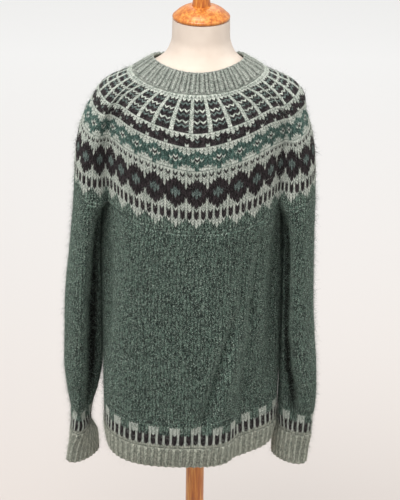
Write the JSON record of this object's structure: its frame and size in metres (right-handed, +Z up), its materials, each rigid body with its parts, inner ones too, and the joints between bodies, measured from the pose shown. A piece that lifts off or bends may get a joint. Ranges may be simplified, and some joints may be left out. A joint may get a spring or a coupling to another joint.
{
  "type": "pullover sweater on a limbless dress form with a stand",
  "caption": "Hand-knitted round-yoke wool pullover, worn by a limbless jersey-covered dress form with a turned wooden neck cap, pole and round base.",
  "frame": {"origin": "centre of the underside of the round stand base, where the part stands on the floor", "axes": "+Z up along the pole, -Y the front of the pullover, +X the wearer's left"},
  "size_m": [0.466, 0.3296, 1.576],
  "materials": {
    "knit_green": "heathered wool in stocking stitch, with a soft halo of fibres",
    "knit_pattern": "stranded wool pattern in pale, dark and green yarn",
    "knit_rib": "ribbed grey-green wool",
    "jersey": "smooth cream cotton jersey stretched over the form",
    "beech": "clear-lacquered turned beech"
  },
  "bodies": {
    "root": {"body": "knit_green", "sleeve_left": "knit_green", "sleeve_right": "knit_green", "yoke": "knit_pattern", "hem_rib": "knit_rib", "cuff_left": "knit_rib", "cuff_right": "knit_rib", "collar": "knit_rib", "dress_form": "jersey", "neck_cap": "beech", "pole": "beech", "stand_base": "beech"}
  },
  "joints": []
}
